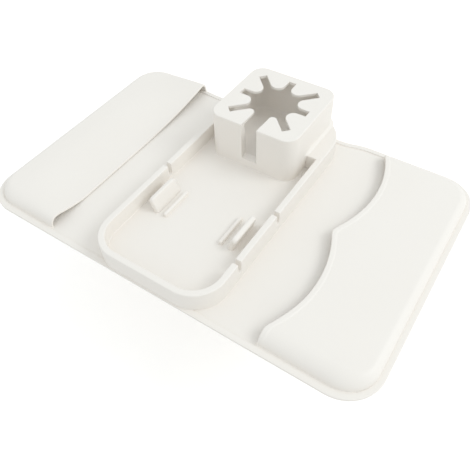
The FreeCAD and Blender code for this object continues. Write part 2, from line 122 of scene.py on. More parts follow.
class ArmTrayCup(bpy.types.PropertyGroup):
    """Sizes of the cup holder."""
    centre: length("Centre", "Middle of the cup holder along the arm", (PLATE_LOW[1] + PLATE_HIGH[1]) / 2)
    draft: length("Draft", "How much further out the foot stands", PLATE_LOW[1] - BLOCK_LOW[1])
    corner: length("Corner", "Radius of the upright corners", 0.0155)
    wall: length("Wall", "Wall of the well at its top", 0.0065)
    foot_cove: length("Foot cove", "Cove between the block and the tray floor", 0.0010)
    shelf_cove: length("Shelf cove", "Cove between the block and the shoulder round it", 0.0034)
    shelf_rise: length("Shelf rise", "Height of that cove", 0.0040)
    cove_fade: length("Cove fade", "Half the stretch over which that cove fades out in front", 0.006)
    well_floor: length("Well floor", "Bottom of the well", 0.018)
    well_corner: length("Well corner", "Radius of the well's corners", 0.016)
    well_draft: length("Well draft", "How much the well narrows on each side", 0.0031)
    well_round: length("Well round", "Rounding round the bottom of the well", 0.004)
    handle_width: length("Handle slot", "Width of the handle slot", 0.020)
    handle_sill: length("Handle sill", "Bottom of the handle slot", 0.020)
    slot_width: length("Star slot", "Width of the star's slots", 0.0096)
    short_reach: length("Short slot", "Reach of the slots that point at a side", 0.0436)
    long_reach: length("Long slot", "Reach of the slots that point at a corner", 0.0532)
    finger_nose: length("Finger nose", "Radius of a finger's tip", 0.009)
    handle_nose: length("Handle nose", "Radius of the tips beside the handle slot", 0.005)
    edge_round: length("Edge round", "Rounding along the slots", 0.0007)
    top_round: length("Top round", "Rounding round the top", 0.0012)
    handle_round: length("Handle round", "Rounding along the front of the handle slot", 0.0021)
    bend_width: length("Bend width", "Stretch of a finger that takes up its bend", 0.0075)


class ArmTrayRests(bpy.types.PropertyGroup):
    """Sizes of the phone rests."""
    lean: FloatProperty(name="Lean", description="Lean of a backrest towards the wall",
                        default=math.radians(19), subtype="ANGLE")
    back_thickness: length("Backrest", "Thickness of a backrest", 0.0064)
    back_length: length("Backrest height", "Backrest from its foot to its top", 0.0148)
    back_corner: length("Backrest corner", "Radius of a backrest's upper corners", 0.0050)
    back_round: length("Backrest round", "Rounding along the edges of a backrest", 0.0022)
    foot_place: length("Foot place", "Middle of a backrest's foot from the middle of the tray", BACK_FOOT[0])
    foot_height: length("Foot height", "Middle of a backrest's foot", BACK_FOOT[2])
    foot_flare: FloatProperty(name="Foot flare", description="How much thicker a backrest is at its foot",
                              default=0.15)
    bend_height: length("Bend height", "Stretch of a backrest above the floor that takes up its bend", 0.0055)
    flare_end: length("Flare end", "Where the thicker foot ends, above its middle", 0.004)
    ridge_round: length("Ridge round", "Rounding along a ridge", 0.0019)


class ArmTrayPockets(bpy.types.PropertyGroup):
    """Sizes of the two side pockets."""
    height: length("Height", "Top of a pocket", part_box("right_pocket")[1][2])
    sheet: length("Sheet", "Thickness of a pocket", 0.0024)
    side_slope: length("Side slope", "Width of the rounded outer side", 0.0095)
    puffed_slope: length("Puffed slope", "Width of a pocket's rounded near end", 0.0175)
    drawn_in: length("Drawn in", "How far that end stands back from the border", 0.0025)
    near_puff: length("Near puff", "How much higher the right pocket stands near that end", 0.0032)
    puff_start: length("Puff start", "Where that rise starts, nearer than the middle", 0.070)
    puff_full: length("Puff full", "Where that rise is full, nearer than the middle", 0.132)
    left_mouth: length("Left mouth", "Mouth of the left pocket from the middle", -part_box("left_pocket")[1][0])
    right_mouth: length("Right mouth", "Mouth of the right pocket from the middle",
                        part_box("right_pocket")[0][0])
    scallop_width: length("Scallop width", "Each scallop of the right mouth", 0.139)
    scallop_depth: length("Scallop depth", "Depth of a scallop", 0.017)
    scallop_cusp: length("Scallop cusp", "Place of the point between the scallops", 0.005)
    scallop_ease: length("Scallop ease", "How gently a scallop begins and ends", 0.0015)
    band_width: length("Band width", "Thick band along the right mouth", 0.0055)
    band_height: length("Band height", "That band above the sheet", 0.0007)
    edge_round: length("Edge round", "Width of the rounding along both mouths", 0.0012)
    sag_low: length("Sag", "Lowest place of the left mouth's edge", 0.0056)
    sag_near: length("Near sag", "Where the left mouth starts to rise towards its near end", -0.092)
    sag_far: length("Far sag", "Where the left mouth starts to rise towards its far end", 0.010)
    near_lift: length("Near lift", "Rise of the left mouth at its near end", 0.01652)
    far_lift: length("Far lift", "Rise of the left mouth at its far end", 0.0147)
    sag_reach: length("Sag reach", "How far the sag runs from the mouth", 0.075)


class ArmTrayLook(bpy.types.PropertyGroup):
    """Colours of the silicone, and the stage."""
    ivory: tint("Ivory", "Colour of the silicone", (0.885, 0.844, 0.790))
    shade: tint("Shade", "Slightly darker cloud in the silicone", (0.870, 0.824, 0.767))
    floor: tint("Floor", "Colour of the studio floor", (0.82, 0.805, 0.786))
    daylight: tint("Daylight", "Colour of the studio light", (0.945, 0.982, 1.0))
    grain: FloatProperty(name="Grain", description="Fineness of the moulded grain", default=1800.0)
    grain_height: length("Grain height", "Depth of the moulded grain", 0.00003)
    gloss: FloatProperty(name="Gloss", description="Least roughness of the silicone", default=0.40)
    sky_level: FloatProperty(name="Sky level", description="Strength of the even studio light", default=0.90)
    floor_glow: FloatProperty(name="Floor glow", description="Light that the floor gives off", default=0.37)
    floor_half: length("Floor half", "Half the width of the floor", 6.0)
    floor_drop: length("Floor drop", "Floor below the mat, where the folded wings end", 0.166)


def sizes(group):
    return getattr(bpy.context.scene, "arm_tray_" + group)


# Finish

def silicone_skin():
    """Node group: clouded colour, uneven gloss and the fine grain of moulded silicone."""
    name = "silicone_skin"
    if name in bpy.data.node_groups:
        return bpy.data.node_groups[name]
    group = bpy.data.node_groups.new(name, "ShaderNodeTree")
    for label, kind, value in (("Vector", "NodeSocketVector", None),
                               ("Colour", "NodeSocketColor", (1, 1, 1, 1)),
                               ("Shade", "NodeSocketColor", (0.9, 0.9, 0.9, 1)),
                               ("Grain", "NodeSocketFloat", 1800.0),
                               ("Gloss", "NodeSocketFloat", 0.5)):
        socket = group.interface.new_socket(name=label, in_out="INPUT", socket_type=kind)
        if value is not None:
            socket.default_value = value
    for label, kind in (("Colour", "NodeSocketColor"), ("Roughness", "NodeSocketFloat"),
                        ("Height", "NodeSocketFloat")):
        group.interface.new_socket(name=label, in_out="OUTPUT", socket_type=kind)
    nodes, links = group.nodes, group.links
    inside, outside = nodes.new("NodeGroupInput"), nodes.new("NodeGroupOutput")

    cloud = nodes.new("ShaderNodeTexNoise")
    cloud.inputs["Scale"].default_value = 14.0
    cloud.inputs["Detail"].default_value = 3.0
    links.new(inside.outputs["Vector"], cloud.inputs["Vector"])
    mixed = nodes.new("ShaderNodeMix")
    mixed.data_type = "RGBA"
    links.new(cloud.outputs["Fac"], mixed.inputs["Factor"])
    links.new(inside.outputs["Colour"], mixed.inputs["A"])
    links.new(inside.outputs["Shade"], mixed.inputs["B"])
    links.new(mixed.outputs["Result"], outside.inputs["Colour"])

    grain = nodes.new("ShaderNodeTexNoise")
    grain.inputs["Detail"].default_value = 2.0
    links.new(inside.outputs["Vector"], grain.inputs["Vector"])
    links.new(inside.outputs["Grain"], grain.inputs["Scale"])
    links.new(grain.outputs["Fac"], outside.inputs["Height"])

    bloom = nodes.new("ShaderNodeTexNoise")
    bloom.inputs["Scale"].default_value = 60.0
    bloom.inputs["Detail"].default_value = 4.0
    links.new(inside.outputs["Vector"], bloom.inputs["Vector"])
    spread = nodes.new("ShaderNodeMath")
    spread.operation = "MULTIPLY_ADD"
    spread.inputs[1].default_value = 0.16
    links.new(bloom.outputs["Fac"], spread.inputs[0])
    links.new(inside.outputs["Gloss"], spread.inputs[2])
    links.new(spread.outputs["Value"], outside.inputs["Roughness"])
    return group


def silicone():
    """Satin ivory silicone."""
    name = "ivory_silicone"
    if name in bpy.data.materials:
        return bpy.data.materials[name]
    look = sizes("look")
    material = bpy.data.materials.new(name)
    material.use_nodes = True
    nodes, links = material.node_tree.nodes, material.node_tree.links
    surface = nodes["Principled BSDF"]
    surface.inputs["Specular IOR Level"].default_value = 0.35
    surface.inputs["Sheen Weight"].default_value = 0.05
    surface.inputs["Sheen Roughness"].default_value = 0.4
    place = nodes.new("ShaderNodeTexCoord")
    skin = nodes.new("ShaderNodeGroup")
    skin.node_tree = silicone_skin()
    skin.inputs["Colour"].default_value = (*look.ivory, 1)
    skin.inputs["Shade"].default_value = (*look.shade, 1)
    skin.inputs["Grain"].default_value = look.grain
    skin.inputs["Gloss"].default_value = look.gloss
    links.new(place.outputs["Object"], skin.inputs["Vector"])
    links.new(skin.outputs["Colour"], surface.inputs["Base Color"])
    links.new(skin.outputs["Roughness"], surface.inputs["Roughness"])
    relief = nodes.new("ShaderNodeBump")
    relief.inputs["Strength"].default_value = 0.35
    relief.inputs["Distance"].default_value = look.grain_height
    links.new(skin.outputs["Height"], relief.inputs["Height"])
    links.new(relief.outputs["Normal"], surface.inputs["Normal"])
    return material


# Modelling helpers

def smoothstep(value, low, high):
    """Smooth step from 0 at low to 1 at high."""
    share = min(1.0, max(0.0, (value - low) / (high - low)))
    return share * share * (3 - 2 * share)


def quarter_turn(steps=5):
    """A quarter circle in steps: each one's run along the first side and rise along the second."""
    angles = [math.pi / 2 * i / steps for i in range(steps + 1)]
    return [(math.sin(b) - math.sin(a), math.cos(a) - math.cos(b)) for a, b in zip(angles, angles[1:])]


def rounded_more(bm, face, wanted, corner, segments):
    """Rounds the wanted corners of a lone flat face; returns the face."""
    bmesh.ops.bevel(bm, geom=[vert for vert in face.verts if wanted(vert.co)], offset=corner,
                    offset_type="OFFSET", segments=segments, profile=0.5, affect="VERTICES", material=-1)
    bm.faces.ensure_lookup_table()
    return bm.faces[0]


def rounded_face(bm, left, right, near, far, height, corner, segments=12, wanted=lambda co: True):
    """A flat rectangle whose wanted corners are rounded, in an empty mesh; returns its one face."""
    verts = bmesh.ops.create_grid(bm, x_segments=1, y_segments=1, size=0.5)["verts"]
    bmesh.ops.scale(bm, vec=(right - left, far - near, 1), verts=verts)
    bmesh.ops.translate(bm, vec=((left + right) / 2, (near + far) / 2, height), verts=verts)
    return rounded_more(bm, verts[0].link_faces[0], wanted, corner, segments)


def raised(bm, face, height):
    """Extrudes a face straight up or down and returns the moved face."""
    inner = all(len(edge.link_faces) > 1 for edge in face.edges)
    done = bmesh.ops.extrude_face_region(bm, geom=[face])
    top = [item for item in done["geom"] if isinstance(item, bmesh.types.BMFace)][0]
    if inner:
        bmesh.ops.delete(bm, geom=[face], context="FACES_ONLY")
    bmesh.ops.translate(bm, vec=(0, 0, height), verts=top.verts[:])
    return top


def narrowed(bm, face, inset, rise):
    """Steps a face inwards and up (or down)."""
    bmesh.ops.inset_region(bm, faces=[face], thickness=inset, use_even_offset=True, use_boundary=True)
    bmesh.ops.translate(bm, vec=(0, 0, rise), verts=face.verts[:])


def boxed(bm, low, high):
    """A box between two corners."""
    verts = bmesh.ops.create_cube(bm, size=1.0)["verts"]
    bmesh.ops.scale(bm, vec=[b - a for a, b in zip(low, high)], verts=verts)
    bmesh.ops.translate(bm, vec=[(a + b) / 2 for a, b in zip(low, high)], verts=verts)


def soften(bm, edges, radius, segments=4):
    """Rounds the edges."""
    bmesh.ops.bevel(bm, geom=edges, offset=radius, offset_type="OFFSET", segments=segments, profile=0.5,
                    affect="EDGES", clamp_overlap=True, material=-1)


def level_edges(bm, height, wanted=None):
    """Edges that lie at one height."""
    return [edge for edge in bm.edges if all(abs(vert.co.z - height) < 2e-5 for vert in edge.verts)
            and (wanted is None or wanted(edge))]


def square(edge):
    """Whether two faces meet at the edge at about a right angle."""
    return len(edge.link_faces) == 2 and edge.calc_face_angle(0) > 1


def sliced(bm, point, normal):
    """Cuts a row of edges across the mesh, so that it can bend there."""
    bmesh.ops.bisect_plane(bm, geom=bm.verts[:] + bm.edges[:] + bm.faces[:], dist=1e-7,
                           plane_co=point, plane_no=normal)


def linked_object(name, bm):
    """Turns the mesh into an object in the scene."""
    bmesh.ops.recalc_face_normals(bm, faces=bm.faces[:])
    mesh = bpy.data.meshes.new(name)
    bm.to_mesh(mesh)
    bm.free()
    thing = bpy.data.objects.new(name, mesh)
    bpy.context.scene.collection.objects.link(thing)
    return thing


def new_piece(name, bm, even=True):
    """Turns the mesh into a named silicone piece."""
    piece = linked_object(name, bm)
    mesh = piece.data
    mesh.polygons.foreach_set("use_smooth", [True] * len(mesh.polygons))
    mesh.set_sharp_from_angle(angle=math.radians(50))
    mesh.materials.append(silicone())
    if even:
        shading = piece.modifiers.new("Even shading", "WEIGHTED_NORMAL")
        shading.keep_sharp = True
    return piece


def carved(bm, tools):
    """The mesh with every tool's mesh cut away, as a fresh bmesh."""
    body = linked_object("blank", bm)
    helpers = [linked_object("tool", tool) for tool in tools]
    for helper in helpers:
        cut = body.modifiers.new("Cut", "BOOLEAN")
        cut.operation, cut.solver, cut.object = "DIFFERENCE", "EXACT", helper
    graph = bpy.context.evaluated_depsgraph_get()
    mesh = bpy.data.meshes.new_from_object(body.evaluated_get(graph))
    fresh = bmesh.new()
    fresh.from_mesh(mesh)
    bpy.data.meshes.remove(mesh)
    for thing in [body] + helpers:
        old = thing.data
        bpy.data.objects.remove(thing)
        bpy.data.meshes.remove(old)
    bmesh.ops.remove_doubles(fresh, verts=fresh.verts[:], dist=1e-6)
    return fresh


# Mat

class ARMTRAY_OT_mat(bpy.types.Operator):
    """Make the mat, one half for each wing"""
    bl_idname = "armtray.mat"
    bl_label = "Mat"

    def far_edge_dip(self, side, away):
        """How far the soft mat's far edge draws in at a distance away from the middle."""
        mat = sizes("mat")
        beside = smoothstep(away, mat.dip_begin, mat.dip_full)
        if side == "right":
            return beside * mat.right_dip * smoothstep(away, mat.right_dip_end, mat.right_dip_last)
        return beside * mat.left_dip * smoothstep(away, mat.left_dip_end, mat.left_dip_last)

    def execute(self, context):
        mat = sizes("mat")
        near, far, end = MAT_LOW[1], MAT_HIGH[1], MAT_HIGH[0]
        fold_end = FOLD_LINE + mat.fold_width
        for side, sign in SIDES:
            bm = bmesh.new()
            face = rounded_face(bm, -end, end, near, far, 0.0, mat.corner)
            face = raised(bm, face, mat.sheet)
            ring = bmesh.ops.inset_region(bm, faces=[face], thickness=mat.rim_width, use_even_offset=True,
                                          use_boundary=True)["faces"]
            up = bmesh.ops.extrude_face_region(bm, geom=ring)["geom"]
            bmesh.ops.delete(bm, geom=ring, context="FACES_ONLY")
            bmesh.ops.translate(bm, vec=(0, 0, mat.rim_height),
                                verts=[item for item in up if isinstance(item, bmesh.types.BMVert)])
            soften(bm, level_edges(bm, mat.sheet + mat.rim_height, square), mat.rim_round, 3)
            soften(bm, level_edges(bm, 0.0, square), mat.edge_round, 4)
            bmesh.ops.bisect_plane(bm, geom=bm.verts[:] + bm.edges[:] + bm.faces[:], dist=1e-7,
                                   plane_co=(0, 0, 0), plane_no=(sign, 0, 0), clear_inner=True)
            bmesh.ops.holes_fill(bm, edges=[edge for edge in bm.edges if edge.is_boundary], sides=0)
            place, fine, coarse = 0.028, 0.002, 0.005
            fold_start = FOLD_LINE - 3 * fine
            while place < end - mat.corner:
                sliced(bm, (sign * place, 0, 0), (1, 0, 0))
                place += fine if fold_start < place < fold_end else coarse
            for vert in bm.verts:
                dip = self.far_edge_dip(side, abs(vert.co.x))
                vert.co.y -= dip * smoothstep(vert.co.y, far - mat.dip_reach, far)
            piece = new_piece("mat_" + side, bm)
            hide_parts(side + "_wing_mat", *(["deck_mat"] if side == "left" else []))
            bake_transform(piece)
        return {"FINISHED"}


# Tray

class ARMTRAY_OT_tray(bpy.types.Operator):
    """Make the walled tray with its cable notches and the shoulder round the cup holder"""
    bl_idname = "armtray.tray"
    bl_label = "Tray"

    def notch(self, place, sign):
        """Cutter for one cable notch, round at its bottom."""
        tray = sizes("tray")
        outside, top = 2 * WALL_HIGH[0], WALL_HIGH[2]
        low, high = sorted((0.0, sign * outside))
        bottom, nearly_half = top - tray.notch_depth, 0.49
        bm = bmesh.new()
        near, far = place - tray.notch_width / 2, place + tray.notch_width / 2
        boxed(bm, (low, near, bottom), (high, far, top + tray.notch_depth))
        soften(bm, level_edges(bm, bottom, lambda edge: abs(edge.verts[0].co.y - edge.verts[1].co.y) < 1e-6),
               tray.notch_width * nearly_half, 6)
        return bm

    def shell(self):
        """Floor and wall in one, with the notches cut."""
        tray, mat = sizes("tray"), sizes("mat")
        half, near, far, top = WALL_HIGH[0], WALL_LOW[1], BLOCK_HIGH[1], WALL_HIGH[2]
        sink, sharp = 0.0003, 0.6
        sunk = mat.sheet - sink
        bm = bmesh.new()
        face = rounded_face(bm, -half, half, near, far, sunk, tray.corner, 20, lambda co: co.y < 0)
        face = rounded_more(bm, face, lambda co: co.y > far - 0.001, tray.far_corner, 20)
        face = raised(bm, face, top - sunk)
        bmesh.ops.inset_region(bm, faces=[face], thickness=tray.wall, use_even_offset=True, use_boundary=True)
        raised(bm, face, tray.floor_top - top)
        soften(bm, level_edges(bm, top, square), tray.rim_round, 4)
        soften(bm, level_edges(bm, tray.floor_top, square), tray.floor_round, 4)
        places = ((tray.notch_near, 1), (tray.notch_far, 1), (tray.notch_far, -1))
        bm = carved(bm, [self.notch(place, sign) for place, sign in places])
        above = tray.floor_top + 2 * tray.floor_round
        soften(bm, [edge for edge in bm.edges if len(edge.link_faces) == 2 and edge.calc_face_angle(0) > sharp
                    and min(vert.co.z for vert in edge.verts) > above], tray.notch_round, 3)
        return bm

    def shoulder(self):
        """Solid far end of the tray on both sides of the cup holder."""
        tray, cup = sizes("tray"), sizes("cup")
        cover, sink, overlap, clear = 0.00005, 0.0005, 0.003, 0.01
        top, front, lap = WALL_HIGH[2] + cover, WALL_HIGH[1], tray.wall / 2
        half, far = WALL_HIGH[0] - lap, BLOCK_HIGH[1] - lap
        sunk = tray.floor_top - sink
        bm = bmesh.new()
        face = rounded_face(bm, -half, half, front, far, sunk, tray.far_corner - lap, 16,
                            lambda co: co.y > front + 0.001)
        raised(bm, face, top - sunk)
        soften(bm, level_edges(bm, top, lambda edge: max(vert.co.y for vert in edge.verts) < front + 0.0001),
               tray.rim_round, 4)
        core = bmesh.new()
        inner = PLATE_HIGH[0] - overlap
        face = rounded_face(core, -inner, inner, PLATE_LOW[1] + overlap, 2 * far, sunk - clear,
                            cup.corner - overlap)
        raised(core, face, top - sunk + 2 * clear)
        return carved(bm, [core])

    def execute(self, context):
        piece = new_piece("tray_shell", self.shell())
        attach(piece, "base")
        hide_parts("tray_wall", "tray_floor")
        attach(new_piece("tray_shoulder", self.shoulder()), "base")
        return {"FINISHED"}


# Cup holder

def slot_end(turns, reach, side, half_width):
    """One corner of a slot's end; turns counts eighths of a circle from +X."""
    angle, centre = math.radians(45 * turns), sizes("cup").centre
    return Vector((math.cos(angle) * reach - side * math.sin(angle) * half_width,
                   centre + math.sin(angle) * reach + side * math.cos(angle) * half_width, 0))


class ARMTRAY_OT_cup_holder(bpy.types.Operator):
    """Make the cup holder with its well, handle slot and star-cut top"""
    bl_idname = "armtray.cup_holder"
    bl_label = "Cup Holder"

    def block(self):
        """The outer form, from the cove at its foot to the rounding round its top."""
        cup, tray = sizes("cup"), sizes("tray")
        half, near, far, top = PLATE_HIGH[0], PLATE_LOW[1], PLATE_HIGH[1], PLATE_HIGH[2]
        shelf, under = WALL_HIGH[2], PLATE_LOW[2]
        grow, sunk = cup.draft + cup.foot_cove, 0.0008
        cove_start, cove_steps, slice_step = shelf - 0.0006, 6, 0.004
        bm = bmesh.new()
        face = rounded_face(bm, -half - grow, half + grow, near - grow, far + grow, tray.floor_top - sunk,
                            cup.corner + grow)
        face = raised(bm, face, sunk)
        for run, rise in quarter_turn():
            narrowed(bm, face, cup.foot_cove * run, cup.foot_cove * rise)
        height = tray.floor_top + cup.foot_cove
        slope = cup.draft / (under - height)
        cove_levels = [shelf + cup.shelf_rise * (i / cove_steps) ** 1.5 for i in range(cove_steps + 1)]
        for level in [cove_start] + cove_levels + [under, top - cup.top_round]:
            narrowed(bm, face, max(1e-6, slope * (min(level, under) - min(height, under))), level - height)
            height = level
        for rise, run in quarter_turn():
            narrowed(bm, face, cup.top_round * run, cup.top_round * rise)
        for i in range(-2, 3):
            sliced(bm, (0, WALL_HIGH[1] + slice_step * i, 0), (0, 1, 0))
        self.flare(bm)
        return bm

    def flare(self, bm):
        """Spreads the block's sides into a cove where they rise from the shoulder."""
        cup = sizes("cup")
        core_x = PLATE_HIGH[0] - cup.corner
        core_y = (PLATE_HIGH[1] - PLATE_LOW[1]) / 2 - cup.corner
        shelf, front, back = WALL_HIGH[2], WALL_HIGH[1], BLOCK_HIGH[1] - 0.0002
        lowest, hollow = -0.001, 2.4
        for vert in bm.verts:
            lift = vert.co.z - shelf
            away = Vector((vert.co.x, vert.co.y - cup.centre, 0))
            away -= Vector((max(-core_x, min(core_x, away.x)), max(-core_y, min(core_y, away.y)), 0))
            if lowest < lift < cup.shelf_rise and away.length > 1e-6:
                fade = (1 - max(0.0, lift) / cup.shelf_rise) ** hollow
                fade *= smoothstep(vert.co.y, front - cup.cove_fade, front + cup.cove_fade)
                vert.co += away.normalized() * cup.shelf_cove * fade
            vert.co.y = min(vert.co.y, back)

    def well(self):
        """Cutter for the well, which narrows downwards."""
        cup = sizes("cup")
        under, upright = PLATE_LOW[2], 0.0002
        side, depth = PLATE_HIGH[0] - cup.wall, (PLATE_HIGH[1] - PLATE_LOW[1]) / 2 - cup.wall
        bm = bmesh.new()
        face = rounded_face(bm, -side, side, cup.centre - depth, cup.centre + depth, under, cup.well_corner)
        face = raised(bm, face, -upright)
        narrowed(bm, face, cup.well_draft, cup.well_floor + cup.well_round - under)
        for drop, run in quarter_turn():
            narrowed(bm, face, cup.well_round * run, -cup.well_round * drop)
        return bm

    def star(self):
        """Cutter for the star and the fingers' places, open towards the tray for a handle."""
        cup = sizes("cup")
        overlap, clear = 0.0001, 0.004
        out = (PLATE_HIGH[1] - PLATE_LOW[1]) / 2 + cup.wall
        under = PLATE_LOW[2] - overlap
        corners = []
        for turns in range(8):
            if turns == 6:
                for reach, side in ((cup.short_reach, -1), (out, -1), (out, 1), (cup.short_reach, 1)):
                    corners.append(slot_end(turns, reach, side, cup.handle_width / 2))
            else:
                reach = cup.long_reach if turns % 2 else cup.short_reach
                corners += [slot_end(turns, reach, side, cup.slot_width / 2) for side in (-1, 1)]
        bm = bmesh.new()
        face = bm.faces.new([bm.verts.new(corner + Vector((0, 0, under))) for corner in corners])
        raised(bm, face, PLATE_HIGH[2] - under + clear)
        return bm

    def execute(self, context):
        cup = sizes("cup")
        near, inside = PLATE_LOW[1], PLATE_LOW[1] + cup.wall + 2 * cup.well_draft
        side, ahead, above = cup.handle_width / 2, 0.01, 0.004
        handle = bmesh.new()
        boxed(handle, (-side, near - ahead, cup.handle_sill), (side, inside, PLATE_HIGH[2] + above))
        bm = carved(self.block(), [self.well(), self.star(), handle])

        def on_slot_front(vert):
            beside = abs(abs(vert.co.x) - side) < 1e-5
            on_sill = abs(vert.co.z - cup.handle_sill) < 1e-5 and abs(vert.co.x) < side + 1e-5
            return vert.co.y < near + 0.0002 and (beside or on_sill)

        slot_front = [edge for edge in bm.edges
                      if square(edge) and all(on_slot_front(vert) for vert in edge.verts)]
        soften(bm, slot_front, cup.handle_round, 5)
        piece = new_piece("cup_holder", bm)
        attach(piece, "base")
        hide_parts("cup_block", "cup_top_plate")
        return {"FINISHED"}


class ARMTRAY_OT_fingers(bpy.types.Operator):
    """Make the eight fingers that bend down round a cup"""
    bl_idname = "armtray.fingers"
    bl_label = "Cup Fingers"

    def finger(self, turns, side):
        """Mesh of the wedge between two slots, the middle of its root and the way to its tip."""
        cup = sizes("cup")
        top, under, slice_step, lower_share = PLATE_HIGH[2], PLATE_LOW[2], 0.001, 0.6
        half_width = (cup.handle_width if turns == 6 else cup.slot_width) / 2
        nose = cup.handle_nose if turns == 6 else cup.finger_nose
        lift = Vector((0, 0, under))
        start = slot_end(turns, cup.short_reach, side, half_width) + lift
        end = slot_end(turns + side, cup.long_reach, -side, cup.slot_width / 2) + lift
        point = slot_end(turns, half_width + cup.slot_width * math.sqrt(0.5), side, half_width) + lift
        first, second = (start - point).normalized(), (end - point).normalized()
        turn = math.pi - first.angle(second)
        middle = point + (first + second).normalized() * nose / math.cos(turn / 2)
        bm = bmesh.new()
        tip = bm.verts.new(point + first * nose * math.tan(turn / 2))
        bmesh.ops.spin(bm, geom=[tip], cent=middle, axis=(0, 0, 1),
                       angle=-math.copysign(turn, first.cross(second).z), steps=12, use_merge=False,
                       use_normal_flip=False, use_duplicate=False)
        face = bm.faces.new([bm.verts.new(start)] + bm.verts[:-1] + [bm.verts.new(end)])
        raised(bm, face, top - under)
        inward = (end - start).cross(Vector((0, 0, 1))).normalized()
        if inward.dot(point - start) < 0:
            inward = -inward

        def free(edge):
            return max((vert.co - start).dot(inward) for vert in edge.verts) > 1e-4

        soften(bm, level_edges(bm, top, free), cup.edge_round, 3)
        soften(bm, level_edges(bm, under, free), cup.edge_round * lower_share, 2)
        for i in range(1, 9):
            sliced(bm, start + inward * slice_step * i, inward)
        return bm, (start + end) / 2 + Vector((0, 0, (top - under) / 2)), inward

    def execute(self, context):
        for turns in range(0, 8, 2):
            for side in (-1, 1):
                name = "finger_%d" % (turns + (2 if side > 0 else 1))
                bm, root, inward = self.finger(turns, side)
                piece = new_piece(name, bm)
                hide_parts("cup_" + name)
                root + inward * sizes("cup").bend_width
                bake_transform(piece)
        return {"FINISHED"}


# Phone rests

class ARMTRAY_OT_phone_rests(bpy.types.Operator):
    """Make the ridges and leaning backrests that hold a phone"""
    bl_idname = "armtray.phone_rests"
    bl_label = "Phone Rests"

    def ridge(self, side):
        """A low bar with rounded upper edges, let into the tray floor."""
        low, high = (Vector(corner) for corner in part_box(side + "_phone_ridge"))
        sink = 0.0005
        low.z -= sink
        bm = bmesh.new()
        boxed(bm, low, high)
        soften(bm, [edge for edge in bm.edges if max(vert.co.z for vert in edge.verts) > high.z - 1e-5],
               sizes("rests").ridge_round, 5)
        return bm

    def backrest(self, side, sign):
        """A slab with rounded upper corners, thicker at its foot, which leans outwards."""
        rests, tray = sizes("rests"), sizes("tray")
        low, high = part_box(side + "_phone_backrest")
        half, top = rests.back_thickness / 2, rests.back_length
        sink, slice_step, foot_share = 0.0006, 0.0013, 0.6
        bottom = tray.floor_top - rests.foot_height - sink
        bm = bmesh.new()
        boxed(bm, (-half, low[1], bottom), (half, high[1], top))
        soften(bm, level_edges(bm, top, lambda edge: abs(edge.verts[0].co.x - edge.verts[1].co.x) > half),
               rests.back_corner, 6)
        soften(bm, [edge for edge in bm.edges if abs(edge.verts[0].co.x - edge.verts[1].co.x) < 1e-6
                    and max(vert.co.z for vert in edge.verts) > 0], rests.back_round, 4)
        for i in range(1, 9):
            sliced(bm, (0, 0, bottom + slice_step * i), (0, 0, 1))
        for vert in bm.verts:
            vert.co.x *= 1 + rests.foot_flare * (1 - smoothstep(vert.co.z, bottom, rests.flare_end))
            vert.co.x += sign * math.tan(rests.lean) * max(0.0, -vert.co.z) * foot_share
        bmesh.ops.rotate(bm, cent=(0, 0, 0), matrix=Matrix.Rotation(sign * rests.lean, 3, "Y"),
                         verts=bm.verts[:])
        bmesh.ops.translate(bm, vec=(sign * rests.foot_place, 0, rests.foot_height), verts=bm.verts[:])
        return bm

    def execute(self, context):
        rests, tray = sizes("rests"), sizes("tray")
        for side, sign in SIDES:
            piece = new_piece(side + "_ridge", self.ridge(side))
            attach(piece, "base")
            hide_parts(side + "_phone_ridge")
            piece = new_piece(side + "_backrest", self.backrest(side, sign))
            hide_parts(side + "_phone_backrest")
            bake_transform(piece)
        return {"FINISHED"}


# Pockets

